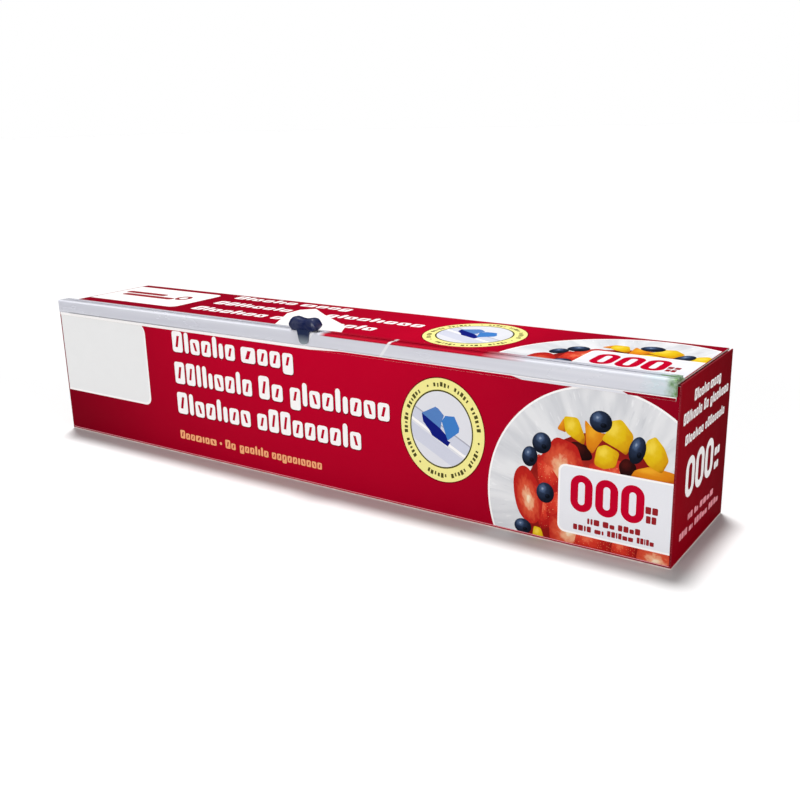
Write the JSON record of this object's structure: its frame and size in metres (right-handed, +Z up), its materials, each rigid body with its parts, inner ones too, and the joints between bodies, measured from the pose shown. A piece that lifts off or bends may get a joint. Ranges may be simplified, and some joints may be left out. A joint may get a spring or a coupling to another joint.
{
  "type": "cling film dispenser",
  "caption": "Long folded paperboard carton with a hinged lid, a clear cutter rail with a slide cutter along its front edge, and a roll of cling film on a paper core inside.",
  "frame": {"origin": "centre of the underside of the carton", "axes": "+X to the right along the carton, seen from the front; -Y towards the front, where the film comes out; +Z up"},
  "size_m": [0.305, 0.0593, 0.0708],
  "materials": {
    "printed_board": "gloss",
    "glue": "satin",
    "double_sided_tape": "satin",
    "clear_rail_plastic": "gloss",
    "clear_stop_plastic": "satin",
    "green_stop_plastic": "gloss",
    "navy_plastic": "gloss",
    "blade_steel": "polished",
    "core_board": "matte",
    "cling_film": "gloss",
    "tab_paper": "satin"
  },
  "bodies": {
    "tray": {"base_panel": "printed_board", "front_panel": "printed_board", "back_panel": "printed_board", "front_inner_flap": "printed_board", "right_end_panel": "printed_board", "left_end_panel": "printed_board", "right_front_dust_flap": "printed_board", "left_front_dust_flap": "printed_board", "right_back_dust_flap": "printed_board", "left_back_dust_flap": "printed_board", "right_glue_beads": "glue", "left_glue_beads": "glue"},
    "lid": {"lid_panel": "printed_board", "lid_front_lip": "printed_board", "lid_crease": "printed_board", "lid_tape": "double_sided_tape", "lip_tape": "double_sided_tape", "cutter_rail": "clear_rail_plastic", "rail_stop_left": "clear_stop_plastic", "rail_stop_right": "green_stop_plastic"},
    "left_ear": {"left_ear": "printed_board"},
    "right_ear": {"right_ear": "printed_board"},
    "slider": {"slider_grip": "navy_plastic", "slider_shoe": "navy_plastic", "slider_blade": "blade_steel"},
    "roll": {"roll_core": "core_board", "film_roll": "cling_film", "start_tab": "tab_paper"}
  },
  "joints": [
    {"name": "lid_hinge", "type": "hinge", "parent": "tray", "child": "lid", "pos_m": [0, 0.02755, 0.06305], "axis": [-1, 0, 0], "range_deg": [0, 180]},
    {"name": "right_ear_fold", "type": "hinge", "parent": "lid", "child": "right_ear", "pos_m": [0.1507, 0, 0.06295], "axis": [0, 1, 0], "range_deg": [0, 85]},
    {"name": "left_ear_fold", "type": "hinge", "parent": "lid", "child": "left_ear", "pos_m": [-0.1507, 0, 0.06295], "axis": [0, -1, 0], "range_deg": [0, 85]},
    {"name": "slider_slide", "type": "slide", "parent": "lid", "child": "slider", "axis": [1, 0, 0], "range_m": [-0.1413, 0.1383]},
    {"name": "roll_spin", "type": "hinge", "parent": "tray", "child": "roll", "pos_m": [0, 0, 0.02475], "axis": [1, 0, 0], "continuous": true}
  ]
}
